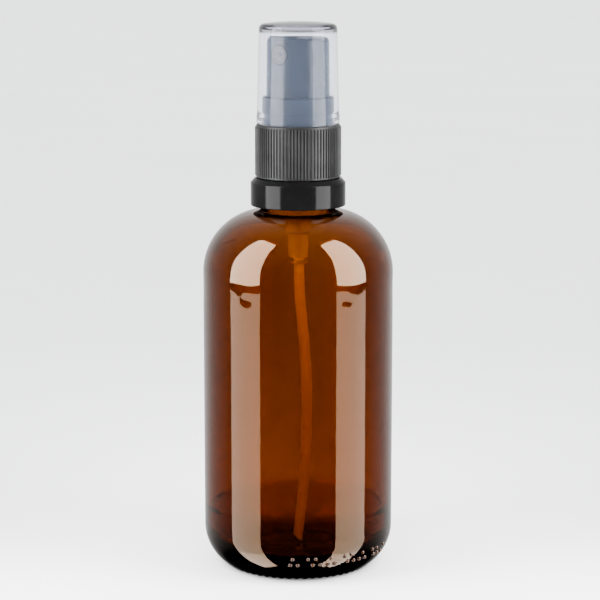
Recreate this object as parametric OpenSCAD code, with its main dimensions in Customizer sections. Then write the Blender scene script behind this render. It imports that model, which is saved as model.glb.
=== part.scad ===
// Amber glass mist bottle: screw closure with tamper ring, finger pump, dip tube and push-on cap.
// Millimetres, Z up. The origin is the centre of the base and the nozzle faces -Y.

/* [Glass bottle] */
// Outside diameter of the body
body_d = 47; // [44:0.5:54]
// Height at which the shoulder starts
body_h = 73.9; // [62:0.1:90]
// Thickness of the side wall
wall = 2.4; // [1.6:0.1:2.6]
// Thickness of the glass at the top of the shoulder
top_wall = 1.6; // [1.4:0.1:1.6]
// Height of the inner floor above the table
floor_z = 4.6; // [3.4:0.1:5.4]
// Radius of the shoulder curve
shoulder_r = 15.5; // [14:0.5:16]
// Raised bars round the bearing ring of the base
foot_bars = 60; // [0:4:60]

/* [Closure] */
// Grip ribs round the closure
rib_count = 80; // [60:2:96]
// How far the ribs stand out
rib_h = 0.3; // [0.1:0.05:0.4]
// Outside diameter of the tamper ring
ring_d = 23.4; // [23:0.1:25]
// Bridges between the tamper ring and the closure
bridges = 8; // [4:1:16]

/* [Pump] */
// Outside diameter of the dip tube
tube_d = 2.5; // [2.2:0.1:2.5]
// Gap from the inner floor to the end of the dip tube
tube_gap = 0.4; // [0.3:0.1:4]
// Direction in which the dip tube bows, in degrees
bow_dir = 37; // [0:1:359]
// Turns of wire in the main spring
spring_turns = 7; // [5:1:8]

/* [Button and cap] */
// Height of the button above the closure's chimney
button_h = 14.4; // [13:0.1:15]
// Diameter of the nozzle insert
nozzle_d = 4.4; // [3.6:0.1:4.6]
// Outside diameter of the overcap at its foot
cap_d = 20.1; // [20:0.1:20.4]
// Thickness of the overcap's top
cap_top = 1.8; // [1.2:0.1:2.4]

/* [Hidden] */
$fn = 72;

body_r = body_d / 2;
foot = 0.25;
heel_h = 9.8;
heel_big = 11.6;
heel_small = 4;
heel_bx = body_r - heel_big;
heel_sx = heel_bx + sqrt(pow(heel_big - heel_small, 2) - pow(heel_h - heel_small, 2));
heel_a = atan2(heel_h - heel_small, heel_sx - heel_bx);
push_up = 1.2;
push_edge = 14.4;
settle = 0.9;
top_x = body_r - shoulder_r;
neck_z = body_h + shoulder_r;
neck_r = 8.0;
neck_fillet = 2.5;
bore_r = 5.3;
lip = neck_z + 19.0;
pitch = 3;
plate = lip + 2.5;
chimney_top = lip + 8.7;
button_z = lip + 6.6;
button_top = chimney_top + button_h;
nozzle_z = button_top - 4.0;
cap_z = lip + 2.1;
cap_in = button_top + 2.0;
seat = lip - 23.8;

// A slice of a disc between two angles less than 180 degrees apart
module sector(r, a0, a1) {
  am = (a0 + a1) / 2;
  intersection() {
    circle(r = r);
    polygon([[0, 0], [3 * r * cos(a0), 3 * r * sin(a0)], [3 * r * cos(am), 3 * r * sin(am)],
      [3 * r * cos(a1), 3 * r * sin(a1)]]);
  }
}

// A ring with a rectangular section
module ring(r0, r1, z0, z1) {
  rotate_extrude() translate([r0, z0]) square([r1 - r0, z1 - z0]);
}

// A right-handed screw ridge; out is 1 for a ridge that points outwards and -1 for inwards
module screw_ridge(root, tip, w_root, w_tip, z0, a0, turns, out) {
  n = round(turns * 24);
  stations = [for (i = [0:n]) let(a = a0 + 15 * i, z = z0 + pitch * 15 * i / 360,
    k = min(1, i / 3, (n - i) / 3), t = root + out * 0.15 + (tip - root - out * 0.15) * k)
    [[root * cos(a), root * sin(a), z - w_root / 2], [t * cos(a), t * sin(a), z - w_tip / 2],
     [t * cos(a), t * sin(a), z + w_tip / 2], [root * cos(a), root * sin(a), z + w_root / 2]]];
  pts = [for (s = stations) for (p = s) p];
  side = [for (i = [0:n - 1]) for (j = [0:3]) let(q = (j + 1) % 4)
    each [[4 * i + j, 4 * i + 4 + j, 4 * i + 4 + q], [4 * i + j, 4 * i + 4 + q, 4 * i + q]]];
  caps = [[0, 1, 2], [0, 2, 3], [4 * n + 2, 4 * n + 1, 4 * n], [4 * n + 3, 4 * n + 2, 4 * n]];
  all = concat(side, caps);
  polyhedron(points = pts, faces = out < 0 ? all : [for (f = all) [f[2], f[1], f[0]]], convexity = 6);
}

// A compression spring: round wire wound in a true helix, with a closed turn at each end
module wire_spring(mean, wire, z0, z1, turns) {
  steps = 20;
  n = steps * (turns + 2);
  close = 2.1 * wire / (z1 - z0 - 2 * wire);
  rise = z1 - z0 - 2 * wire;
  heights = [for (i = [0:n]) let(t = i / steps) t < 1 ? close * t
    : t > turns + 1 ? 1 - close * (turns + 2 - t) : close + (1 - 2 * close) * (t - 1) / turns];
  pts = [for (i = [0:n]) for (j = [0:7]) let(a = 360 * i / steps, r = mean + wire * cos(45 * j))
    [r * cos(a), r * sin(a), z0 + wire + rise * heights[i] + wire * sin(45 * j)]];
  side = [for (i = [0:n - 1]) for (j = [0:7]) let(q = (j + 1) % 8)
    each [[8 * i + 8 + q, 8 * i + 8 + j, 8 * i + j], [8 * i + q, 8 * i + 8 + q, 8 * i + j]]];
  polyhedron(points = pts, faces = concat(side, [[0, 1, 2, 3, 4, 5, 6, 7]],
    [[for (j = [7:-1:0]) 8 * n + j]]), convexity = 10);
}

// Outline of the glass, from the axis outwards
module glass_outline() {
  translate([0, foot]) {
    polygon([[0, 0], [heel_sx, 0], [heel_sx, heel_small], [heel_sx + 1, heel_h + 1],
      [0, heel_h + 1]]);
    translate([heel_sx, heel_small]) sector(heel_small, -110, 20 - heel_a);
    translate([heel_bx, heel_h]) sector(heel_big, -heel_a, 10);
  }
  translate([0, foot + heel_h]) square([body_r, body_h - foot - heel_h]);
  translate([0, body_h]) square([top_x, shoulder_r]);
  translate([top_x, body_h]) sector(shoulder_r, -10, 100);
  translate([0, neck_z - 2]) square([neck_r, lip - neck_z + 1.5]);
  translate([0, lip - 0.5]) polygon([[0, 0], [neck_r, 0], [neck_r - 0.5, 0.5], [0, 0.5]]);
  difference() {
    translate([neck_r - 1, neck_z - 1.2]) square([neck_fillet + 0.7, neck_fillet + 1]);
    translate([neck_r + neck_fillet, neck_z + neck_fillet - 0.2]) circle(r = neck_fillet);
  }
  translate([0, lip]) polygon([[neck_r - 1, -15.3], [neck_r, -15.3], [9.7, -14.6], [9.7, -13.7],
    [8.7, -12.6], [neck_r - 1, -12.6]]);
}

// Outline of the space inside the glass
module glass_inside() {
  ir = body_r - wall;
  base_r = ir - settle;
  round_in = 5.8;
  roof = body_h + wall - top_wall;
  translate([0, floor_z]) {
    square([base_r - round_in, round_in]);
    translate([base_r - round_in, round_in]) sector(round_in, -110, 10);
    polygon([[0, round_in - 1], [base_r - 1, round_in - 1], [base_r, round_in],
      [ir, round_in + 1.4], [ir, roof - floor_z], [0, roof - floor_z]]);
  }
  translate([0, roof]) square([top_x, shoulder_r - wall]);
  translate([top_x, roof]) sector(shoulder_r - wall, -10, 100);
  translate([0, body_h]) square([bore_r, lip - body_h + 1]);
}

// Glass bottle with screw thread, tamper bead, pushed-up base, barred foot and code dots on the heel
module bottle() {
  push_r = (push_edge * push_edge + push_up * push_up) / (2 * push_up);
  heel_z = foot + heel_h;
  bar_r = 0.3;
  dot_rows = [5.1, 6.7];
  dot_step = 4.7;
  color([0.42, 0.2, 0.04, 0.55]) union() {
    rotate_extrude() difference() {
      glass_outline();
      glass_inside();
      intersection() {
        translate([0, foot + push_up - push_r]) circle(r = push_r);
        translate([0, -1]) square([20, 4]);
      }
    }
    screw_ridge(neck_r - 0.3, 8.9, 1.9, 0.8, lip - 9.0, 0, 1.9, 1);
    if (foot_bars > 0) for (i = [0:foot_bars - 1])
      rotate([0, 0, 360 * i / foot_bars]) translate([push_edge + 0.5, 0, bar_r]) rotate([0, 90, 0])
        cylinder(r = bar_r, h = heel_sx + 1 - push_edge, $fn = 24);
    for (i = [0:15]) for (z = dot_rows) if ((2 * i + z) % 5 < 3.5)
      rotate([0, 0, bow_dir - 100 + dot_step * i + z])
        translate([heel_bx + sqrt(heel_big * heel_big - pow(heel_z - z, 2)) - 0.1, 0, z])
          sphere(r = z > 6 ? 0.5 : 0.55);
  }
}

// Screw closure: ribbed skirt with inside thread, top plate and the chimney that guides the button
module closure() {
  bottom = lip - 11.0;
  step = 360 / rib_count;
  color([0.07, 0.07, 0.07]) union() {
    difference() {
      union() {
        rotate_extrude() {
          translate([0, bottom]) polygon([[0, 0], [10.15, 0], [10.3, 0.2], [10.3, 12.8], [10.1, 13],
            [0, 13]]);
          translate([0, lip + 1.9]) square([8.5, 2.8]);
          translate([0, lip + 4.6]) polygon([[0, 0], [8.7, 0], [8.8, 0.1], [8.8, 3.9], [8.6, 4.1],
            [0, 4.1]]);
        }
        translate([0, 0, bottom + 0.5]) linear_extrude(11.9)
          polygon([for (i = [0:rib_count - 1]) for (k = [[0, 0], [0.16, 0.1], [0.3, 0.72], [0.42, 1],
            [0.58, 1], [0.7, 0.72], [0.84, 0.1]]) let(a = step * (i + k[0]),
            r = 10.25 + (rib_h + 0.05) * k[1]) [r * cos(a), r * sin(a)]]);
      }
      rotate_extrude() {
        translate([0, bottom - 1]) square([9.3, 11.9]);
        translate([0, lip - 1]) square([8.5, 2.7]);
        translate([0, lip]) square([5.5, 4]);
        translate([0, plate]) square([8.0, 9]);
      }
    }
    screw_ridge(9.3 + 0.3, 8.35, 1.7, 0.6, lip - 9.5, 120, 1.6, -1);
  }
}

// Tamper-evident ring that stays under the bead of the neck when the closure is first turned
module tamper_ring() {
  r = ring_d / 2;
  color([0.06, 0.06, 0.06]) union() {
    rotate_extrude() difference() {
      translate([0, lip - 18]) polygon([[0, 0], [r - 0.3, 0], [r, 0.3], [r, 5.75], [r - 0.95, 6.85],
        [0, 6.85]]);
      translate([0, lip - 19]) square([9.0, 9]);
      translate([0, lip - 19]) polygon([[0, 0], [10.3, 0], [10.3, 1.2], [9.0, 1.8], [0, 1.8]]);
      translate([0, lip - 15.6]) polygon([[0, -0.7], [9.0, -0.7], [10.2, 0.5], [10.2, 5], [0, 5]]);
    }
    for (i = [0:bridges - 1]) rotate([0, 0, 360 * i / bridges])
      translate([10.2, -0.3, lip - 11.3]) cube([0.45, 0.6, 0.28]);
  }
}

// Flat seal between the lip of the bottle and the pump
module neck_gasket() {
  color([0.9, 0.9, 0.88]) ring(5.4, 7.8, lip + 0.03, lip + 0.87);
}

// Pump housing: flange, upper sleeve, piston chamber, ball pocket and dip tube socket
module pump_housing() {
  tr = tube_d / 2;
  color([0.93, 0.93, 0.9, 0.6]) rotate_extrude() difference() {
    union() {
      translate([0, lip + 0.9]) square([8.0, 0.7]);
      translate([0, lip - 7]) square([5.1, 8.2]);
      translate([0, lip - 10.4]) polygon([[0, 0], [3.2, 0], [5.1, 1.6], [5.1, 3.6], [0, 3.6]]);
      translate([0, seat - 0.8]) square([3.2, lip - 9.4 - seat]);
      translate([0, seat - 1.6]) polygon([[0, 0], [2.6, 0], [3.2, 0.8], [0, 0.8]]);
      translate([0, seat - 9.2]) polygon([[0, 0], [2.2, 0], [2.45, 0.3], [2.6, 7.7], [0, 7.7]]);
    }
    translate([0, lip - 8.3]) square([4.4, 10]);
    translate([0, seat + 3.0]) square([2.55, lip - seat - 11]);
    translate([0, seat + 2.6]) square([1.1, 1]);
    translate([0, seat]) square([1.4, 2.7]);
    translate([0, seat - 3]) square([0.9, 3.1]);
    translate([0, seat - 10]) square([tr + 0.02, 8.0]);
  }
}

// Cap of the housing: guides the stem and clips the pump into the closure's top plate
module housing_cap() {
  color([0.88, 0.88, 0.86]) rotate_extrude() difference() {
    union() {
      translate([0, lip - 0.6]) square([4.36, 2.3]);
      translate([0, lip + 1.63]) square([5.3, 1.1]);
      translate([0, lip + 2.6]) polygon([[0, 0], [5.7, 0], [5.7, 0.3], [5.3, 0.7], [0, 0.7]]);
    }
    translate([0, lip - 1]) square([1.68, 5]);
    translate([0, lip + 2.3]) polygon([[0, 0], [1.68, 0], [3.4, 1.2], [0, 1.2]]);
  }
}

// Soft washer that seals the stem at rest
module stem_gasket() {
  color([0.15, 0.15, 0.16]) ring(1.66, 4.3, lip - 1.45, lip - 0.65);
}

// Hollow stem with the bell that presses the washer
module stem() {
  color([0.9, 0.9, 0.88]) rotate_extrude() difference() {
    union() {
      translate([0, lip - 2.6]) square([1.6, 15.0]);
      translate([0, lip - 4.0]) polygon([[0, 0], [3.3, 0], [3.3, 2.2], [3.0, 2.5], [0, 2.5]]);
      translate([0, lip + 12.3]) polygon([[0, 0], [1.6, 0], [1.4, 0.3], [0, 0.3]]);
    }
    translate([0, lip - 5]) square([2.75, 2.6]);
    translate([0, lip - 3]) square([0.8, 16]);
  }
}

// Soft piston: sealing lip, shoulder for the outlet spring and hub
module piston() {
  color([0.95, 0.95, 0.95]) rotate_extrude() difference() {
    union() {
      translate([0, lip - 11.4]) polygon([[0, 0], [2.3, 0], [2.5, 0.3], [2.5, 1.0], [2.25, 1.3],
        [2.25, 1.7], [2.5, 2.0], [2.5, 2.6], [2.35, 2.8], [0, 2.8]]);
      translate([0, lip - 8.7]) square([2.35, 2.2]);
      translate([0, lip - 6.6]) square([1.7, 3.3]);
    }
    translate([0, lip - 12]) square([0.95, 9]);
  }
}

// Valve rod: spring plate, sealing cone and the grooved pin pushed into the stem
module valve_rod() {
  color([0.85, 0.86, 0.88]) union() {
    rotate_extrude() polygon([[0, lip - 13.0], [2.05, lip - 13.0], [2.05, lip - 12.4],
      [1.5, lip - 12.4], [0.6, lip - 11.0], [0.6, lip - 2.5], [0, lip - 2.5]]);
    difference() {
      translate([0, 0, lip - 2.6]) cylinder(r = 0.78, h = 3.1);
      for (a = [0, 120, 240]) rotate([0, 0, a]) translate([0.5, -0.2, lip - 3])
        cube([1, 0.4, 4]);
    }
  }
}

// Small spring that holds the piston down on the valve rod
module outlet_spring() {
  color([0.75, 0.76, 0.78]) wire_spring(2.02, 0.14, lip - 6.48, lip - 2.42, 4);
}

// Main return spring
module main_spring() {
  color([0.7, 0.71, 0.73]) wire_spring(1.95, 0.19, seat + 3.02, lip - 13.02, spring_turns);
}

// Steel ball of the inlet valve, resting on its seat
module inlet_ball() {
  color([0.6, 0.61, 0.63]) translate([0, 0, seat + sqrt(1.2 * 1.2 - 0.9 * 0.9) + 0.02]) sphere(r = 1.2);
}

// Course of the curved dip tube at a radius: a straight top and two bends, drawn a hair thinner each
module tube_path(r) {
  ra = 110;
  rb = 225;
  aa = 6.5;
  ab = 15.6;
  top = seat - 2.1;
  bend = seat - 9.6;
  translate([0, 0, bend - 0.2]) cylinder(r = r + 0.01, h = top - bend + 0.2);
  translate([ra, 0, bend]) rotate([90, 0, 0]) rotate([0, 0, 180]) rotate_extrude(angle = aa)
    translate([ra, 0]) circle(r = r);
  translate([ra - ra * cos(aa), 0, bend - ra * sin(aa)]) rotate([0, -aa, 0])
    translate([-rb, 0, 0]) rotate([90, 0, 0]) rotate([0, 0, -ab]) rotate_extrude(angle = ab + 0.1)
      translate([rb, 0]) circle(r = r - 0.01);
}

// Dip tube: hangs from the housing, bows to one side and is cut slantwise at the end
module dip_tube() {
  tube_wall = 0.45;
  slant = 40;
  color([0.95, 0.9, 0.8, 0.7]) rotate([0, 0, bow_dir]) difference() {
    tube_path(tube_d / 2);
    tube_path(tube_d / 2 - tube_wall);
    translate([0, 0, seat - 2.3]) cylinder(r = tube_d / 2 - tube_wall + 0.01, h = 1);
    translate([0, 0, floor_z + tube_gap + 1.05]) rotate([0, slant, 0]) translate([-20, -20, -40])
      cube([40, 40, 40]);
  }
}

// Push button: shell, stem hub, nozzle boss and channel, with a finger dish and a brow over the nozzle
module actuator() {
  dish = 0.55;
  dish_edge = 6.0;
  dish_r = (dish_edge * dish_edge + dish * dish) / (2 * dish);
  e = 1.1;
  color([0.09, 0.09, 0.1]) difference() {
    union() {
      rotate_extrude() difference() {
        union() {
          translate([0, button_z]) polygon([[0, 0], [7.8, 0], [7.6, button_top - button_z - e],
            [7.6 - e, button_top - button_z - e], [7.6 - e, button_top - button_z],
            [0, button_top - button_z]]);
          translate([7.6 - e, button_top - e]) sector(e, 0, 90);
        }
        translate([0, button_z - 1]) polygon([[0, 0], [6.9, 0], [6.5, button_top - button_z - 1],
          [0, button_top - button_z - 1]]);
        intersection() {
          translate([0, button_top - dish + dish_r]) circle(r = dish_r);
          translate([0, button_top - 2]) square([6.5, 4]);
        }
      }
      translate([0, 0, lip + 7.6]) cylinder(r = 2.7, h = button_top - 1.5 - lip - 7.6);
      translate([0, 0, nozzle_z]) rotate([90, 0, 0]) cylinder(r = nozzle_d / 2 + 0.9, h = 7.0);
      for (a = [45, 135]) rotate([0, 0, a]) translate([-6.8, -0.4, lip + 14.5])
        cube([13.6, 0.8, button_top - 1.6 - lip - 14.5]);
      rotate([0, 0, 270 - 38]) rotate_extrude(angle = 76) translate([6.65, button_top - 0.1])
        circle(r = 0.6);
      for (a = [-38, 38]) rotate([0, 0, 270 + a]) translate([6.65, 0, button_top - 0.1])
        sphere(r = 0.6);
    }
    translate([0, 0, lip + 7]) cylinder(r = 1.62, h = 5.75);
    translate([0, 0, lip + 12]) cylinder(r = 0.9, h = nozzle_z - lip - 11.2);
    difference() {
      translate([0, -3.9, nozzle_z]) rotate([90, 0, 0]) cylinder(r = nozzle_d / 2 + 0.05, h = 5);
      translate([0, -3, nozzle_z]) rotate([90, 0, 0]) cylinder(r = 1.2, h = 3.2);
    }
    translate([0, 0, nozzle_z]) for (s = [-1, 1]) translate([s * 1.45, 0, 0]) rotate([90, 0, 0])
      cylinder(r = 0.35, h = 4.2);
    translate([-1.8, -0.4, nozzle_z - 0.35]) cube([3.6, 0.8, 0.7]);
  }
}

// Nozzle insert: thimble over the swirl post, with a dished face and a fine hole
module nozzle_insert() {
  color([0.12, 0.12, 0.13]) translate([0, -4.0, nozzle_z]) rotate([90, 0, 0])
    rotate_extrude() difference() {
      square([nozzle_d / 2, 3.35]);
      translate([0, -1]) square([1.8, 3.35]);
      translate([0, 1]) square([0.16, 4]);
      translate([0, 2.75]) polygon([[0, 0], [0.16, 0], [0.95, 0.7], [0, 0.7]]);
    }
}

// Clear overcap with a thicker foot and a snap bead
module overcap() {
  r = cap_d / 2;
  e = 1.3;
  top_r = r - 0.5;
  dome_h = 0.5;
  dome_edge = 8.2;
  dome_r = (dome_edge * dome_edge + dome_h * dome_h) / (2 * dome_h);
  h = cap_in + cap_top - dome_h - cap_z;
  color([0.9, 0.93, 0.95, 0.4]) rotate_extrude() difference() {
    union() {
      translate([0, cap_z]) polygon([[0, 0], [r - 0.1, 0], [r, 0.15], [top_r, h - e],
        [top_r - e, h - e], [top_r - e, h], [0, h]]);
      translate([top_r - e, cap_z + h - e]) sector(e, 0, 90);
      translate([0, cap_z + 0.2]) polygon([[r - 1, 0], [r + 0.1, 0], [r + 0.1, 2.2], [r - 0.05, 2.4],
        [r - 1, 2.4]]);
      intersection() {
        translate([0, cap_z + h + dome_h - dome_r]) circle(r = dome_r);
        translate([0, cap_z + h - 0.6]) square([dome_edge - 0.1, 2]);
      }
    }
    translate([0, cap_z - 1]) polygon([[0, 0], [9.1, 0], [9.1, 2.0], [8.95, 2.3], [9.1, 2.6],
      [8.65, cap_in - cap_z + 0.2], [7.85, cap_in - cap_z + 1], [0, cap_in - cap_z + 1]]);
  }
}

bottle();
closure();
tamper_ring();
neck_gasket();
pump_housing();
housing_cap();
stem_gasket();
stem();
piston();
valve_rod();
outlet_spring();
main_spring();
inlet_ball();
dip_tube();
actuator();
nozzle_insert();
overcap();
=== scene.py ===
import math
from math import cos, pi, radians, sin, sqrt

import bpy
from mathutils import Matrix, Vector


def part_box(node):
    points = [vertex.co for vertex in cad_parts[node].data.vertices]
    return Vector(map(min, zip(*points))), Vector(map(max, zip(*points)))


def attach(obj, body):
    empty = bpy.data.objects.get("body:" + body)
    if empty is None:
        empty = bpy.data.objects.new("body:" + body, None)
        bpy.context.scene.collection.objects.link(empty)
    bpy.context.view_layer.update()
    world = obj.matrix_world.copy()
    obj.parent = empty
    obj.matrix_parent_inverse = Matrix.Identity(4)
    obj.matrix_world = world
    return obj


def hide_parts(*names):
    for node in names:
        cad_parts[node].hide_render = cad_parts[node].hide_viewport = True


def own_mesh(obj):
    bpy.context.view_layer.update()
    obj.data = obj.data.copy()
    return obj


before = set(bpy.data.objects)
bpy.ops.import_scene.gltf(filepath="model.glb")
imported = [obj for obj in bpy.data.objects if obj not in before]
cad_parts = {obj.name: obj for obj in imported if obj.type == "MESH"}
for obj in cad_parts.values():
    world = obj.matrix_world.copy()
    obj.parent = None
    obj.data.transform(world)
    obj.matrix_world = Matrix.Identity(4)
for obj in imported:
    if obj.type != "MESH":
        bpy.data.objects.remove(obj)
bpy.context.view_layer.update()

MM = 0.001
FRONT = 37.0  # the camera stands this many degrees round from the nozzle's side
CAMERA_SIDE = 0.47
CAMERA_DISTANCE = 520
CAMERA_HEIGHT = 158.3
AIM_HEIGHT = 66.61


# ---------------------------------------------------------------- camera
def aim(obj, place, target):
    obj.location = place
    obj.rotation_euler = (Vector(target) - Vector(place)).to_track_quat("-Z", "Y").to_euler()


def around(right, forward, up):
    """A point given as the camera sees it: to the right, towards the camera and up, in millimetres."""
    a = radians(FRONT)
    x = right * cos(a) + forward * sin(a)
    y = right * sin(a) - forward * cos(a)
    return (x * MM, y * MM, up * MM)


cam = bpy.data.objects.new("camera", bpy.data.cameras.new("camera"))
bpy.context.scene.collection.objects.link(cam)
cam.data.lens = 127.65
cam.data.sensor_width = 36.0
cam.data.clip_start = 0.01
aim(cam, around(CAMERA_SIDE, CAMERA_DISTANCE, CAMERA_HEIGHT), around(CAMERA_SIDE, 0, AIM_HEIGHT))
bpy.context.scene.camera = cam


# ---------------------------------------------------------------- light and floor
def lamp(name, place, target, size, power):
    data = bpy.data.lights.new(name, "AREA")
    data.shape = "RECTANGLE"
    data.size, data.size_y = size
    data.energy = power
    obj = bpy.data.objects.new(name, data)
    bpy.context.scene.collection.objects.link(obj)
    aim(obj, place, target)
    obj.visible_camera = False


ROOM_LIGHT = 3.2
BOX_SIDE = 90
BOX_FORWARD = 50
BOX_WIDTH = 72


def softbox(name, side, low, high, brightness):
    """An upright softbox beside the bottle, from low to high in millimetres."""
    size = (BOX_WIDTH * MM, (high - low) * MM)
    middle = (low + high) / 2
    power = brightness * pi * size[0] * size[1]
    lamp(name, around(BOX_SIDE * side, BOX_FORWARD, middle), around(0, 0, middle), size, power)


for side, hand in ((-1, "left"), (1, "right")):
    softbox("upper_softbox_" + hand, side, 59, 250, 26.0)
    softbox("lower_softbox_" + hand, side, -60, 55.5, 7.5)
    softbox("heel_softbox_" + hand, side, -220, -60, 12.0)  # below the table, mirrored only by the heel

world = bpy.data.worlds.new("studio")
bpy.context.scene.world = world
world.use_nodes = True
world_nodes = world.node_tree
room = world_nodes.nodes["Background"]
room.inputs["Color"].default_value = (0.96, 0.98, 1.0, 1)
room.inputs["Strength"].default_value = ROOM_LIGHT
# What gloss mirrors: a dark room in front, growing lighter towards the back
mirrored = world_nodes.nodes.new("ShaderNodeBackground")
where = world_nodes.nodes.new("ShaderNodeTexCoord")
facing = world_nodes.nodes.new("ShaderNodeVectorMath")
facing.operation = "DOT_PRODUCT"
facing.inputs[1].default_value = Vector(around(0, -1000, 0))
world_nodes.links.new(where.outputs["Generated"], facing.inputs[0])
fade = world_nodes.nodes.new("ShaderNodeMapRange")
fade.inputs["From Min"].default_value = -0.2
fade.inputs["From Max"].default_value = 1.0
fade.inputs["To Min"].default_value = 0.02
fade.inputs["To Max"].default_value = 1.6
world_nodes.links.new(facing.outputs["Value"], fade.inputs["Value"])
axes = world_nodes.nodes.new("ShaderNodeSeparateXYZ")
world_nodes.links.new(where.outputs["Generated"], axes.inputs["Vector"])
low = world_nodes.nodes.new("ShaderNodeMapRange")  # nothing bright is mirrored from below the table
low.inputs["From Min"].default_value = -0.6
low.inputs["From Max"].default_value = -0.22
low.inputs["To Min"].default_value = 0.01
low.inputs["To Max"].default_value = 1.0
world_nodes.links.new(axes.outputs["Z"], low.inputs["Value"])
both = world_nodes.nodes.new("ShaderNodeMath")
both.operation = "MULTIPLY"
world_nodes.links.new(fade.outputs["Result"], both.inputs[0])
world_nodes.links.new(low.outputs["Result"], both.inputs[1])
world_nodes.links.new(both.outputs["Value"], mirrored.inputs["Strength"])
path = world_nodes.nodes.new("ShaderNodeLightPath")
pick = world_nodes.nodes.new("ShaderNodeMixShader")
world_nodes.links.new(path.outputs["Is Glossy Ray"], pick.inputs["Fac"])
world_nodes.links.new(room.outputs["Background"], pick.inputs[1])
world_nodes.links.new(mirrored.outputs["Background"], pick.inputs[2])
world_nodes.links.new(pick.outputs["Shader"], world_nodes.nodes["World Output"].inputs["Surface"])


# ---------------------------------------------------------------- materials
FOOT_DARK = 0.002  # metres above the table, below which the full foot tint darkens lamp light, painted shadow under the foot
FOOT_CLEAR = 0.007  # and above which it has gone


class Mat:
    """A node material round one Principled shader, with the few nodes this scene needs."""

    def __init__(self, name, **sockets):
        self.m = bpy.data.materials.new(name)
        self.m.use_nodes = True
        self.nt = self.m.node_tree
        self.p = self.nt.nodes["Principled BSDF"]
        self.out = self.nt.nodes["Material Output"]
        self.coords = self.nt.nodes.new("ShaderNodeTexCoord")
        for k, v in sockets.items():
            self.p.inputs[k.replace("_", " ")].default_value = v

    def node(self, kind, **values):
        n = self.nt.nodes.new("ShaderNode" + kind)
        for k, v in values.items():
            if hasattr(n, k):
                setattr(n, k, v)
            else:
                n.inputs[k.replace("_", " ")].default_value = v
        return n

    def link(self, a, b):
        self.nt.links.new(a, b)

    def noise(self, scale, detail=4.0, stretch=(1, 1, 1)):
        m = self.node("Mapping")
        m.inputs["Scale"].default_value = stretch
        self.link(self.coords.outputs["Object"], m.inputs["Vector"])
        n = self.node("TexNoise", Scale=scale, Detail=detail)
        self.link(m.outputs["Vector"], n.inputs["Vector"])
        return n.outputs["Fac"]

    def ramp(self, fac, lo, hi, a=0.35, b=0.65):
        r = self.node("ValToRGB")
        r.color_ramp.elements[0].position = a
        r.color_ramp.elements[1].position = b
        r.color_ramp.elements[0].color = (*lo, 1)
        r.color_ramp.elements[1].color = (*hi, 1)
        self.link(fac, r.inputs["Fac"])
        return r.outputs["Color"]

    def spread(self, fac, lo, hi, a=0.3, b=0.7):
        r = self.node("MapRange")
        r.inputs["From Min"].default_value = a
        r.inputs["From Max"].default_value = b
        r.inputs["To Min"].default_value = lo
        r.inputs["To Max"].default_value = hi
        self.link(fac, r.inputs["Value"])
        return r.outputs["Result"]

    def bump(self, heights):
        normal = None
        for fac, distance, strength in heights:
            b = self.node("Bump")
            b.inputs["Distance"].default_value = distance
            b.inputs["Strength"].default_value = strength
            self.link(fac, b.inputs["Height"])
            if normal:
                self.link(normal, b.inputs["Normal"])
            normal = b.outputs["Normal"]
        self.link(normal, self.p.inputs["Normal"])

    def colour(self, socket):
        self.link(socket, self.p.inputs["Base Color"])

    def rough(self, socket):
        self.link(socket, self.p.inputs["Roughness"])

    def pass_lamps(self, tint, foot_tint=None):
        """Lets light from lamps through to what stands behind, tinted. foot_tint darkens it at the foot:
        painted shadow.
        """
        path = self.node("LightPath")
        through = self.node("BsdfTransparent")
        through.inputs["Color"].default_value = (*tint, 1)
        if foot_tint:
            height = self.node("SeparateXYZ")
            self.link(self.coords.outputs["Object"], height.inputs["Vector"])
            above_foot = self.spread(height.outputs["Z"], 0, 1, FOOT_DARK, FOOT_CLEAR)
            self.link(self.ramp(above_foot, foot_tint, tint, 0, 1), through.inputs["Color"])
        mix = self.node("MixShader")
        self.link(path.outputs["Is Shadow Ray"], mix.inputs["Fac"])
        self.link(self.p.outputs["BSDF"], mix.inputs[1])
        self.link(through.outputs["BSDF"], mix.inputs[2])
        self.link(mix.outputs["Shader"], self.out.inputs["Surface"])

    def absorb(self, colour, density):
        v = self.node("VolumeAbsorption")
        v.inputs["Color"].default_value = (*colour, 1)
        v.inputs["Density"].default_value = density
        self.link(v.outputs["Volume"], self.out.inputs["Volume"])


def plastic(name, lo, hi, rough, specular=0.3, grain=0.000012, **more):
    """Moulded plastic: cloudy colour, fine grain, flow marks and fingered gloss."""
    m = Mat(name, Specular_IOR_Level=specular, **more)
    m.colour(m.ramp(m.noise(180, 5), lo, hi))
    m.rough(m.spread(m.noise(420, 6), rough * 0.8, rough * 1.3))
    m.bump([(m.noise(2600, 3), grain, 0.5), (m.noise(160, 2, (1, 1, 0.4)), 0.00006, 0.25)])
    return m


glass = Mat("amber_glass", Transmission_Weight=1.0, IOR=1.52, Specular_Tint=(1.0, 0.62, 0.36, 1))
glass.colour(glass.ramp(glass.noise(60, 2), (0.97, 0.95, 0.92), (1.0, 1.0, 1.0)))
glass.rough(glass.spread(glass.noise(300, 6), 0.0, 0.03, 0.4, 0.8))
glass.bump([(glass.noise(38, 2, (1, 1, 0.35)), 0.00035, 0.35), (glass.noise(420, 3), 0.00001, 0.25)])
glass.absorb((0.70, 0.505, 0.0), 1900.0)
glass.pass_lamps((0.96, 0.96, 0.96), (0.10, 0.04, 0.01))

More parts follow.
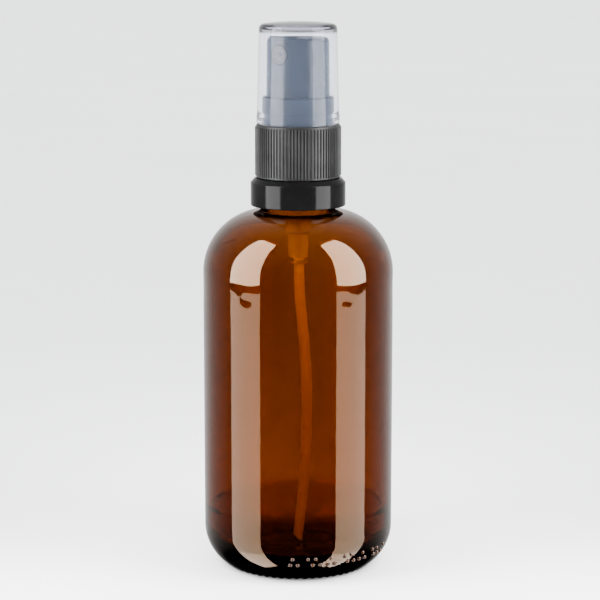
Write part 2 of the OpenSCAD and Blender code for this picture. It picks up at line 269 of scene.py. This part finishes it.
clear = Mat("clear_plastic", Transmission_Weight=0.996, IOR=1.49, Specular_Tint=(0.14, 0.14, 0.15, 1))
clear.colour(clear.ramp(clear.noise(90, 3), (0.88, 0.91, 0.97), (0.94, 0.96, 1.0)))
clear.rough(clear.spread(clear.noise(500, 6), 0.0, 0.015))
clear.bump([(clear.noise(120, 2, (1, 1, 0.25)), 0.00004, 0.3), (clear.noise(1800, 4), 0.000003, 0.4)])
clear.absorb((0.78, 0.77, 0.80), 260.0)
clear.pass_lamps((0.92, 0.93, 0.95))

SKIRT_TONES = ((0.007, 0.007, 0.007), (0.011, 0.011, 0.011))
CHIMNEY_HAZE_TONES = ((0.009, 0.013, 0.020), (0.012, 0.017, 0.027))  # the chimney's bluer tones are painted haze: the bluish veil of light scattered by the overcap in front of it
closure_black = plastic("black_closure", *SKIRT_TONES, 0.36, 0.12)
height = closure_black.node("SeparateXYZ")
closure_black.link(closure_black.coords.outputs["Object"], height.inputs["Vector"])
PLATE_UP = 2.3  # from the lip to where the chimney's bluer tones, painted haze of the overcap, start
PLATE_FADE = 0.2
plate_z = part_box("bottle")[1][2] + PLATE_UP * MM
# Above the plate the closure's colour fades into the painted haze tones of the chimney
under_cap_haze = closure_black.spread(height.outputs["Z"], 0, 1, plate_z, plate_z + PLATE_FADE * MM)
skirt_or_haze = closure_black.node("MixRGB")
closure_black.link(under_cap_haze, skirt_or_haze.inputs["Fac"])
for tones, socket in ((SKIRT_TONES, "Color1"), (CHIMNEY_HAZE_TONES, "Color2")):
    closure_black.link(closure_black.ramp(closure_black.noise(180, 5), *tones), skirt_or_haze.inputs[socket])
closure_black.colour(skirt_or_haze.outputs["Color"])
ring_black = plastic("black_ring", (0.002, 0.002, 0.002), (0.003, 0.003, 0.003), 0.12, 0.06, 0.000004)
# The button's bluish tones are painted haze: the veil of light scattered by the overcap, over black plastic
button_black = plastic("black_button", (0.008, 0.011, 0.017), (0.011, 0.015, 0.023), 0.22, 0.12, 0.000006)
nozzle_mat = plastic("black_nozzle", (0.010, 0.011, 0.013), (0.015, 0.016, 0.019), 0.3, 0.25, 0.000004)
milky = plastic("natural_plastic", (0.96, 0.94, 0.90), (1.0, 0.99, 0.96), 0.2, 0.4, 0.00001,
                Transmission_Weight=0.7, IOR=1.4)
soft_white = plastic("soft_plastic", (0.84, 0.84, 0.82), (0.9, 0.9, 0.89), 0.5, 0.3)
liner = plastic("gasket", (0.78, 0.78, 0.75), (0.88, 0.88, 0.86), 0.65, 0.2, 0.00003)
rubber = plastic("seal_rubber", (0.02, 0.02, 0.02), (0.035, 0.035, 0.035), 0.6, 0.3, 0.00003)
tube_mat = plastic("tube_plastic", (0.97, 0.94, 0.88), (1.0, 0.98, 0.94), 0.3, 0.4, 0.000008,
                   Transmission_Weight=0.1, IOR=1.5)
steel = Mat("spring_steel", Metallic=1.0, Anisotropic=0.3)
steel.colour(steel.ramp(steel.noise(900, 4), (0.42, 0.42, 0.43), (0.60, 0.60, 0.62)))
steel.rough(steel.spread(steel.noise(1500, 4), 0.16, 0.34))
steel.bump([(steel.noise(4000, 2, (1, 1, 6)), 0.000004, 0.5)])

floor_mat = Mat("pale_floor", Specular_IOR_Level=0.1)
floor_mat.colour(floor_mat.ramp(floor_mat.noise(6, 3), (0.90, 0.90, 0.90), (0.92, 0.92, 0.92)))
floor_mat.rough(floor_mat.spread(floor_mat.noise(40, 4), 0.7, 0.9))

TABLE_HALF = 12000
TABLE_SEAM = -40
TABLE_Z = -0.02  # just under the bottle


def table(name, near, far):
    """One part of the floor, from near to far millimetres in front of the bottle. Gloss doesn't mirror it."""
    outline = ((-TABLE_HALF, near), (TABLE_HALF, near), (TABLE_HALF, far), (-TABLE_HALF, far))
    corners = [around(right, forward, TABLE_Z) for right, forward in outline]
    mesh = bpy.data.meshes.new(name)
    mesh.from_pydata(corners, [], [(0, 3, 2, 1)])
    obj = bpy.data.objects.new(name, mesh)
    bpy.context.scene.collection.objects.link(obj)
    obj.data.materials.append(floor_mat.m)
    obj.visible_glossy = False


table("floor_front", TABLE_HALF, TABLE_SEAM)
table("floor_back", TABLE_SEAM, -TABLE_HALF)


# ---------------------------------------------------------------- mesh helpers, in millimetres
SAME_POINT = 1e-4  # points nearer than this count as one


def arc(cx, cz, r, a0, a1, n):
    return [(cx + r * cos(radians(a0 + (a1 - a0) * i / n)), cz + r * sin(radians(a0 + (a1 - a0) * i / n)))
            for i in range(n + 1)]


def line(p, q, n):
    return [(p[0] + (q[0] - p[0]) * i / n, p[1] + (q[1] - p[1]) * i / n) for i in range(n + 1)]


def joined(*runs):
    """One outline from several runs of points, without the doubled points where they meet."""
    pts = []
    for run in runs:
        for p in run:
            if not pts or math.dist(p, pts[-1]) > SAME_POINT:
                pts.append(p)
    return pts


def lathe(name, profile, segs, mat, move=None, closed=False):
    """Turns a profile of (radius, height) round Z. move(radius, height, angle) may shift each point."""
    verts, faces, rows = [], [], []
    for r, z in profile:
        if r < 1e-6:
            rows.append([len(verts)])
            verts.append((0.0, 0.0, z * MM))
            continue
        row = []
        for k in range(segs):
            a = 2 * pi * k / segs
            rr, zz = move(r, z, a) if move else (r, z)
            row.append(len(verts))
            verts.append((rr * cos(a) * MM, rr * sin(a) * MM, zz * MM))
        rows.append(row)
    pairs = list(zip(rows, rows[1:]))
    if closed:
        pairs.append((rows[-1], rows[0]))
    for lo, hi in pairs:
        for k in range(segs):
            q = (k + 1) % segs
            if len(lo) == 1 and len(hi) == 1:
                continue
            if len(lo) == 1:
                faces.append((lo[0], hi[q], hi[k]))
            elif len(hi) == 1:
                faces.append((lo[k], lo[q], hi[0]))
            else:
                faces.append((lo[k], lo[q], hi[q], hi[k]))
    return make(name, verts, faces, mat)


def make(name, verts, faces, mat):
    data = bpy.data.meshes.new(name)
    data.from_pydata(verts, [], faces)
    data.validate()
    data.shade_smooth()
    data.materials.append(mat.m)
    obj = bpy.data.objects.new(name, data)
    bpy.context.scene.collection.objects.link(obj)
    return obj


def crisp(obj, degrees):
    """Sharp where faces meet at more than this angle, smooth elsewhere."""
    obj.data.set_sharp_from_angle(angle=radians(degrees))


# ---------------------------------------------------------------- sizes of the bottle, in millimetres
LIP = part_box("bottle")[1][2] / MM
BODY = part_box("bottle")[1][0] / MM
# The same values as in the CAD
SHOULDER = 15.5
NECK_H = 19.0
BODY_H = LIP - NECK_H - SHOULDER
WALL = 2.4
TOP_WALL = 1.6
FLOOR = 4.6
HEEL_H = 9.8
HEEL_BIG = 11.6
HEEL_SMALL = 4.0
PUSH_UP = 1.2
PUSH_EDGE = 14.4
SETTLE = 0.9
ROUND_IN = 5.8
TOP_X = BODY - SHOULDER
FOOT = 0.25
BARS = 60
NECK = 8.0
FILLET = 2.5
BORE = 5.3
BEAD = 9.7
PITCH = 3.0
THREAD_TURNS = 1.9
THREAD_Z = LIP - 9.0
THREAD_H = 0.9
DOT_COLUMNS = 16
DOT_ROWS = (5.1, 6.7)
DOT_STEP = 4.7
# Near the CAD's, for ridges that are made by moving points
THREAD_BASE = 1.75
THREAD_TIP = 0.75
BAR_H = 0.25
# Inside the glass, for the looks only
FLARE = 6.6
FLARE_R = 2.6
SETTLE_Z = 15.2
SETTLE_SPAN = 1.6
WALL_STRAIGHT = 19.0
# Faces round each turned shape
GLASS_SEGS = 360
CAP_SEGS = 256
RING_SEGS = 256
BUTTON_SEGS = 192
NOZZLE_SEGS = 96


# ---------------------------------------------------------------- glass bottle
def ridge(x, base, tip):
    """Height from 0 to 1 of a trapezoid of those widths, centred on 0."""
    x = abs(x)
    return max(0.0, min(1.0, (base / 2 - x) / (base / 2 - tip / 2)))


def thread(z, a):
    """How far the screw thread stands out at a height and angle."""
    best = 0.0
    for turn in (0, 1):
        t = a / (2 * pi) + turn
        if t <= THREAD_TURNS:
            fade = min(1.0, t * 8, (THREAD_TURNS - t) * 8)
            best = max(best, ridge(z - (THREAD_Z + PITCH * t), THREAD_BASE, THREAD_TIP) * fade)
    return THREAD_H * best


def bars(r, a):
    """How far the bars of the bearing ring reach down."""
    from_inside = (r - PUSH_EDGE - 0.2) / 0.5
    from_outside = (heel_sx + 2.4 - r) / 0.7
    reach = max(0.0, min(1.0, from_inside, from_outside))
    return BAR_H * reach * (0.5 + 0.5 * cos(a * BARS)) ** 1.5


def glass_move(r, z, a):
    """The thread and bars, and the small unevenness of blown glass, most of it inside."""
    if LIP - 11 < z < LIP - 1.5 and r > 7.5:
        r += thread(z, a)
    if z < 1.3:
        z -= bars(r, a)
    back = 0.5 - 0.5 * cos(a - radians(FRONT - 90))
    if abs(r - inside_r) < 1e-6 and z < WALL_STRAIGHT:  # settled glass, most of it on one side
        t = max(0.0, min(1.0, 0.5 + (SETTLE_Z - z) / SETTLE_SPAN))
        r -= SETTLE * back * t * t * (3 - 2 * t)
    elif FLOOR - 0.01 < z < FLOOR + ROUND_IN + 0.01 and base_r - ROUND_IN < r < base_r + 0.01:
        r += SETTLE * (1 - back) * (r - base_r + ROUND_IN) / ROUND_IN
    if z > FOOT + HEEL_H and r > inside_r - 1 and z < BODY_H + 6:
        if r < inside_r + 0.5:  # the mould shapes only the outside, so the wall is a little uneven
            r += 0.16 * sin(2 * a + 0.4) + 0.07 * sin(5 * a + z / 17)
        else:  # faint waves where the shoulder starts
            swell = math.exp(-((z - BODY_H + 4) / 2.6) ** 2)
            r += swell * (0.03 * sin(6 * a + 1.0) + 0.008 * sin(23 * a + z) - 0.03)
    return r, max(z, 0.002)


heel_bx = BODY - HEEL_BIG
heel_sx = heel_bx + sqrt((HEEL_BIG - HEEL_SMALL) ** 2 - (HEEL_H - HEEL_SMALL) ** 2)
heel_a = math.degrees(math.atan2(HEEL_H - HEEL_SMALL, heel_sx - heel_bx))
push_r = (PUSH_EDGE ** 2 + PUSH_UP ** 2) / (2 * PUSH_UP)
push_a = math.degrees(math.asin((PUSH_EDGE - 0.1) / push_r))
inside_r = BODY - WALL
base_r = inside_r - SETTLE
roof = BODY_H + WALL - TOP_WALL
inner_top = roof + SHOULDER - WALL
fillet_z = sqrt((SHOULDER + FILLET) ** 2 - FILLET ** 2)
outer = joined(
    arc(0, FOOT + PUSH_UP - push_r, push_r, 90, 90 - push_a, 24),
    line((PUSH_EDGE, FOOT), (heel_sx, FOOT), 8),
    arc(heel_sx, FOOT + HEEL_SMALL, HEEL_SMALL, -90, -heel_a, 22),
    arc(heel_bx, FOOT + HEEL_H, HEEL_BIG, -heel_a, 0, 30),
    line((BODY, FOOT + HEEL_H), (BODY, BODY_H), 40),
    arc(TOP_X, BODY_H, SHOULDER, 0, 81.9, 60),
    arc(NECK + FILLET, BODY_H + fillet_z, FILLET, 261.5, 180, 16),
    line((NECK, BODY_H + fillet_z), (NECK, LIP - 15.3), 3),
    [(BEAD - 0.1, LIP - 14.65), (BEAD, LIP - 14.5), (BEAD, LIP - 13.8), (BEAD - 0.1, LIP - 13.6)],
    [(BEAD - 1.0, LIP - 12.6), (NECK, LIP - 12.4)],
    line((NECK, LIP - 12.2), (NECK, LIP - 0.7), 78),
    arc(NECK - 0.6, LIP - 0.6, 0.6, 0, 90, 6),
)
inner = joined(
    arc(BORE + 0.6, LIP - 0.6, 0.6, 90, 180, 6),
    line((BORE, LIP - 0.7), (BORE, LIP - 13.0), 12),
    line((BORE + 0.05, LIP - 13.4), (FLARE, inner_top + FLARE_R), 10),  # the blown neck widens inside
    arc(FLARE + FLARE_R, inner_top + FLARE_R, FLARE_R, 180, 262, 14),
    arc(TOP_X, roof, SHOULDER - WALL, 86, 0, 50),
    line((inside_r, roof), (inside_r, WALL_STRAIGHT), 40),
    line((inside_r, WALL_STRAIGHT - 0.2), (inside_r, FLOOR + ROUND_IN + 0.05), 40),
    arc(base_r - ROUND_IN, FLOOR + ROUND_IN, ROUND_IN, 0, -90, 30),
    line((base_r - ROUND_IN, FLOOR), (0, FLOOR), 10),
)
bottle = lathe("bottle_glass", outer + inner, GLASS_SEGS, glass, glass_move)
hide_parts("bottle")
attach(bottle, "bottle")

# Raised mould-code dots on the heel
heel_glass = Mat("heel_glass", Transmission_Weight=0.0, IOR=1.52)
heel_glass.colour(heel_glass.ramp(heel_glass.noise(300, 2), (0.018, 0.005, 0.001), (0.030, 0.009, 0.001)))
heel_glass.rough(heel_glass.spread(heel_glass.noise(900, 3), 0.02, 0.08))


def ball(verts, faces, centre, radius, n=20, rings=12):
    """Adds a round bead, in millimetres, to a list of vertices and faces."""
    base = len(verts)
    for j in range(rings + 1):
        t = pi * j / rings
        for k in range(n):
            u = 2 * pi * k / n
            verts.append(tuple((centre + Vector((sin(t) * cos(u), sin(t) * sin(u), cos(t))) * radius) * MM))
    for j in range(rings):
        for k in range(n):
            q = (k + 1) % n
            lo, hi = base + j * n, base + (j + 1) * n
            if j == 0:
                faces.append((lo, hi + k, hi + q))
            elif j == rings - 1:
                faces.append((lo + k, hi, lo + q))
            else:
                faces.append((lo + k, hi + k, hi + q, lo + q))


dots_v, dots_f = [], []
for i in range(DOT_COLUMNS):
    for z in DOT_ROWS:
        if (2 * i + z) % 5 < 3.5:  # some places stay empty, as in a mould code
            a = radians(FRONT - 100 + DOT_STEP * i + z)
            out = heel_bx + sqrt(HEEL_BIG ** 2 - (FOOT + HEEL_H - z) ** 2) - 0.1
            ball(dots_v, dots_f, Vector((out * cos(a), out * sin(a), z)), 0.5 if z > 6 else 0.55)
dots = make("heel_dots", dots_v, dots_f, heel_glass)
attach(dots, "bottle")

# ---------------------------------------------------------------- overcap
CAP_TAPER = 0.5
CAP_EDGE = 1.3
DOME_H = 0.5
DOME_EDGE = 8.2
BROW_UP = 0.5  # the brow stands this much above the button's top
CAP_ROOM = 2.0  # between the button and the cap's ceiling
CEILING_R = 7.8
MOUTH_R = 9.1
SNAP_R = 8.96
cap_r = 10.05
cap_z = LIP + 2.1
cap_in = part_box("actuator")[1][2] / MM - BROW_UP + CAP_ROOM
cap_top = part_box("overcap")[1][2] / MM
cap_h = cap_top - DOME_H
cap_top_r = cap_r - CAP_TAPER
dome_r = (DOME_EDGE ** 2 + DOME_H ** 2) / (2 * DOME_H)
dome_a = math.degrees(math.asin((DOME_EDGE - 0.2) / dome_r))
cap_outer = joined(
    [(cap_r - 0.1, cap_z), (cap_r, cap_z + 0.15), (cap_r + 0.09, cap_z + 0.25)],
    line((cap_r + 0.1, cap_z + 0.35), (cap_r + 0.1, cap_z + 2.2), 4),
    [(cap_r - 0.02 + 0.1 * cos(radians(60)), cap_z + 2.35 + 0.1 * sin(radians(60)))],
    line((cap_r - 0.035, cap_z + 2.6), (cap_top_r, cap_h - CAP_EDGE), 30),
    arc(cap_top_r - CAP_EDGE, cap_h - CAP_EDGE, CAP_EDGE, 0, 86, 14),
    arc(0, cap_top - dome_r, dome_r, 90 - dome_a, 90, 16)[:-1],
    [(0.0, cap_top)],
)
cap_inner = joined(
    line((0, cap_in + 0.05), (CEILING_R, cap_in + 0.05), 6),
    arc(CEILING_R, cap_in - 0.8, 0.85, 90, 5, 8),
    line((CEILING_R + 0.86, cap_in - 1.0), (MOUTH_R - 0.01, cap_z + 1.75), 30),
    [(SNAP_R + 0.04, cap_z + 1.45), (SNAP_R, cap_z + 1.3), (SNAP_R + 0.04, cap_z + 1.15)],
    [(MOUTH_R, cap_z + 0.95)],
    line((MOUTH_R, cap_z + 0.9), (MOUTH_R, cap_z + 0.05), 4),
)
cap = lathe("overcap_clear", cap_outer + cap_inner, CAP_SEGS, clear, closed=True)
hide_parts("overcap")
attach(cap, "cap")

# ---------------------------------------------------------------- tamper ring
ring_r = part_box("tamper_ring")[1][0] / MM
ring_z = LIP - 18.0
ring_profile = joined(
    [(10.3, ring_z), (ring_r - 0.3, ring_z)],
    arc(ring_r - 0.3, ring_z + 0.3, 0.3, -90, 0, 6),
    line((ring_r, ring_z + 0.3), (ring_r, ring_z + 5.65), 12),
    arc(ring_r - 0.25, ring_z + 5.65, 0.25, 0, 48, 4),
    line((ring_r - 0.1, ring_z + 5.85), (ring_r - 0.93, ring_z + 6.78), 4),
    [(ring_r - 1.0, ring_z + 6.84), (ring_r - 1.1, ring_z + 6.85)],
    [(10.2, ring_z + 6.85), (10.2, ring_z + 2.9), (9.0, ring_z + 1.7)],
    [(9.0, ring_z + 0.8), (10.3, ring_z + 0.2)],
)
ring = lathe("tamper_ring_smooth", ring_profile, RING_SEGS, ring_black, closed=True)
crisp(ring, 40)
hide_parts("tamper_ring")
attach(ring, "ring")
BRIDGES = 8
bridge_v, bridge_f = [], []
for i in range(BRIDGES):
    a = 2 * pi * i / BRIDGES
    e = Vector((cos(a), sin(a), 0))
    t = Vector((-sin(a), cos(a), 0))
    b = len(bridge_v)
    for z, w in ((LIP - 11.25, 0.42), (LIP - 11.08, 0.26)):
        for u, v in ((10.22, -w), (10.6, -w), (10.6, w), (10.22, w)):
            bridge_v.append(tuple((e * u + t * v) * MM + Vector((0, 0, z * MM))))
    bridge_f += [(b + 3, b + 2, b + 1, b), (b + 4, b + 5, b + 6, b + 7)]
    bridge_f += [(b + k, b + (k + 1) % 4, b + 4 + (k + 1) % 4, b + 4 + k) for k in range(4)]
bridge = make("tamper_bridges", bridge_v, bridge_f, ring_black)
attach(bridge, "ring")

# ---------------------------------------------------------------- button and nozzle
button_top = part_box("actuator")[1][2] / MM - BROW_UP
button_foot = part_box("actuator")[0][2] / MM
button_r = 7.6
edge = 1.1
dish = 0.55
dish_edge = 6.0
dish_r = (dish_edge ** 2 + dish ** 2) / (2 * dish)
dish_a = math.degrees(math.asin(dish_edge / dish_r))
nozzle_z = button_top - 4.0
nozzle_r = 2.2
button_profile = joined(
    [(6.95, button_foot), (7.7, button_foot), (7.78, button_foot + 0.1)],
    line((7.78, button_foot + 0.12), (button_r, button_top - edge), 24),
    arc(button_r - edge, button_top - edge, edge, 0, 90, 14),
    line((button_r - edge, button_top), (6.12, button_top), 2),
    arc(0, button_top - dish + dish_r, dish_r, 270 + dish_a, 270, 20)[:-1],
    [(0.0, button_top - dish), (0.0, nozzle_z + 0.8), (0.9, nozzle_z + 0.8), (0.9, LIP + 12.75)],
    [(1.62, LIP + 12.75), (1.62, LIP + 7.65), (2.65, LIP + 7.65)],
    [(2.7, button_top - 1.2), (6.45, button_top - 1.2)],
    line((6.5, button_top - 1.25), (6.9, button_foot + 0.05), 12),
)
button = lathe("button_shell", button_profile, BUTTON_SEGS, button_black, closed=True)
crisp(button, 40)


def along_nozzle(name, profile, segs, mat):
    """Turns a profile of (radius, distance from the button's axis) round the nozzle's axis, facing -Y."""
    obj = lathe(name, profile, segs, mat)
    for v in obj.data.vertices:
        x, y, z = v.co
        v.co = (x, -z, y + nozzle_z * MM)
    obj.data.update()
    return obj


hole_r = nozzle_r + 0.06
hole_profile = [(0, 5.2), (hole_r, 5.2), (hole_r, 6.9), (2.95, 8.6), (0, 8.6)]
cutter = along_nozzle("nozzle_hole", hole_profile, NOZZLE_SEGS, button_black)
cut = button.modifiers.new("hole", "BOOLEAN")
cut.operation = "DIFFERENCE"
cut.solver = "EXACT"
cut.object = cutter
solid = bpy.data.meshes.new_from_object(button.evaluated_get(bpy.context.evaluated_depsgraph_get()))
button.modifiers.clear()
button.data = solid
bpy.data.objects.remove(cutter)
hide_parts("actuator")
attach(button, "button")

# The brow: a rounded bead on the button's rim above the nozzle, rounded off at both ends
BROW_R = 0.6
BROW_AT = 6.65
BROW_HALF = 38  # degrees to each side of the nozzle
BROW_FULL = 0.9  # full thickness to this share of the half, then rounding down to a tenth of it
brow_v, brow_f = [], []
brow_n, brow_m = 40, 14
for i in range(brow_n + 1):
    a = radians(270 - BROW_HALF + 2 * BROW_HALF * i / brow_n)
    past = max(0.0, abs(2 * i / brow_n - 1) - BROW_FULL)
    grow = sqrt(max(0.0, 1 - past ** 2 / 0.0101))  # 0.0101 is just over the largest past squared
    for j in range(brow_m):
        u = 2 * pi * j / brow_m
        r = BROW_AT + BROW_R * grow * cos(u)
        z = button_top - 0.1 + BROW_R * grow * sin(u)
        brow_v.append((r * cos(a) * MM, r * sin(a) * MM, z * MM))
for i in range(brow_n):
    for j in range(brow_m):
        q = (j + 1) % brow_m
        b, c = i * brow_m, (i + 1) * brow_m
        brow_f.append((b + j, b + q, c + q, c + j))
brow_f += [tuple(range(brow_m - 1, -1, -1)), tuple(brow_n * brow_m + j for j in range(brow_m))]
brow = make("button_brow", brow_v, brow_f, button_black)
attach(brow, "button")

nozzle_profile = joined(
    [(0.0, 4.1), (1.9, 4.1), (nozzle_r, 4.4)],
    line((nozzle_r, 4.6), (nozzle_r, 7.2), 3),
    arc(nozzle_r - 0.14, 7.2, 0.14, 0, 90, 5),
    [(1.72, 7.34), (1.60, 7.24), (1.5, 7.12)],
    line((1.4, 7.1), (0.95, 7.1), 2),
    [(0.85, 7.04), (0.22, 6.75), (0.16, 6.6), (0.16, 5.4), (0.0, 5.4)],
)
nozzle = along_nozzle("nozzle_face", nozzle_profile, NOZZLE_SEGS, nozzle_mat)
crisp(nozzle, 30)
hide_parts("nozzle_insert")
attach(nozzle, "button")

# ---------------------------------------------------------------- springs, shortened by their joints
def wire_spring(name, mean, wire, low, high, turns, body):
    """Wire of radius wire wound to the mean radius, from low to high, with a closed turn at each end."""
    steps, sides = 24, 10
    n = steps * (turns + 2)
    rise = high - low - 2 * wire
    close = 2.1 * wire / rise
    verts, faces = [], []
    for i in range(n + 1):
        t = i / steps
        if t < 1:
            h = close * t
        elif t > turns + 1:
            h = 1 - close * (turns + 2 - t)
        else:
            h = close + (1 - 2 * close) * (t - 1) / turns
        for j in range(sides):
            u = 2 * pi * j / sides
            r = mean + wire * cos(u)
            z = low + wire + rise * h + wire * sin(u)
            verts.append((r * cos(2 * pi * t) * MM, r * sin(2 * pi * t) * MM, z * MM))
    for i in range(n):
        for j in range(sides):
            q = (j + 1) % sides
            b, c = i * sides, (i + 1) * sides
            faces.append((b + j, c + j, c + q, b + q))
    faces += [tuple(range(sides)), tuple(n * sides + j for j in reversed(range(sides)))]
    obj = make(name, verts, faces, steel)
    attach(obj, body)
    return obj


spring_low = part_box("main_spring")[0][2] / MM
spring_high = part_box("main_spring")[1][2] / MM
spring = wire_spring("return_spring", 1.95, 0.19, spring_low, spring_high, turns=7, body="pump")
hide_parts("main_spring")
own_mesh(spring)
valve_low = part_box("outlet_spring")[0][2] / MM
valve_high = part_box("outlet_spring")[1][2] / MM
small = wire_spring("valve_spring", 2.02, 0.14, valve_low, valve_high, turns=4, body="stem")
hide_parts("outlet_spring")
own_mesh(small)

# ---------------------------------------------------------------- CAD nodes that keep their shape
for node, mat in (("closure", closure_black), ("neck_gasket", liner), ("pump_housing", milky),
                  ("housing_cap", milky), ("stem_gasket", rubber), ("stem", milky), ("piston", soft_white),
                  ("valve_rod", milky), ("inlet_ball", steel), ("dip_tube", tube_mat)):
    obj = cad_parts[node]
    for slot in obj.material_slots:
        slot.link = "OBJECT"
        slot.material = mat.m
    if not obj.material_slots:
        obj.data.materials.append(mat.m)
